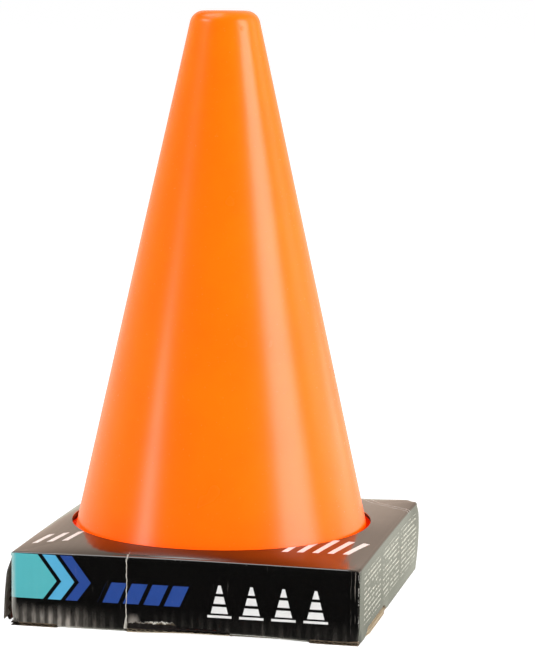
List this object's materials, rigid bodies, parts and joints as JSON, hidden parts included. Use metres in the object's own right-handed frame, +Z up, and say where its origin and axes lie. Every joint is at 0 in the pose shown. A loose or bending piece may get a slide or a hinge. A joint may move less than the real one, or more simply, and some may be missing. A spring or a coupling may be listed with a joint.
{
  "type": "training cone set in a carton",
  "caption": "Nested plastic training cones with square bases in a low printed carton, the top one standing up through a round hole; each cone and the carton cover lift off.",
  "frame": {"origin": "on the table, at the middle of the carton's underside", "axes": "+Z up along the cones, -Y out of the front wall, +X towards the right wall"},
  "size_m": [0.1474, 0.145, 0.2503],
  "materials": {
    "orange_plastic": "smooth moulded polyethylene with a soft sheen",
    "printed_board": "black printed and glossy laminated fluted board, worn at its folds",
    "brown_board": "plain brown fluted board"
  },
  "bodies": {
    "base": {"bottom_panel": "brown_board"},
    "cone_4": {"cone_4": "orange_plastic"},
    "cone_3": {"cone_3": "orange_plastic"},
    "cone_2": {"cone_2": "orange_plastic"},
    "cone_1": {"cone_1": "orange_plastic"},
    "cover": {"top_panel": "printed_board", "front_wall": "printed_board", "back_wall": "printed_board", "right_wall": "printed_board", "tab_front_left": "printed_board", "tab_front_right": "printed_board", "tab_back_left": "printed_board", "tab_back_right": "printed_board"},
    "left_wall": {"left_wall": "printed_board"}
  },
  "joints": [
    {"name": "cone_4_lift", "type": "slide", "parent": "base", "child": "cone_4", "axis": [0, 0, 1], "range_m": [0, 0.1]},
    {"name": "cone_3_lift", "type": "slide", "parent": "cone_4", "child": "cone_3", "axis": [0, 0, 1], "range_m": [0, 0.235]},
    {"name": "cone_2_lift", "type": "slide", "parent": "cone_3", "child": "cone_2", "axis": [0, 0, 1], "range_m": [0, 0.235]},
    {"name": "cone_1_lift", "type": "slide", "parent": "cone_2", "child": "cone_1", "axis": [0, 0, 1], "range_m": [0, 0.235]},
    {"name": "cover_lift", "type": "slide", "parent": "cone_1", "child": "cover", "axis": [0, 0, 1], "range_m": [0, 0.26]},
    {"name": "left_wall_fold", "type": "hinge", "parent": "cover", "child": "left_wall", "pos_m": [-0.0725, 0, 0.029], "axis": [0, 1, 0], "range_deg": [-4.5, 85], "stiffness_Nm_per_rad": 0.01}
  ]
}
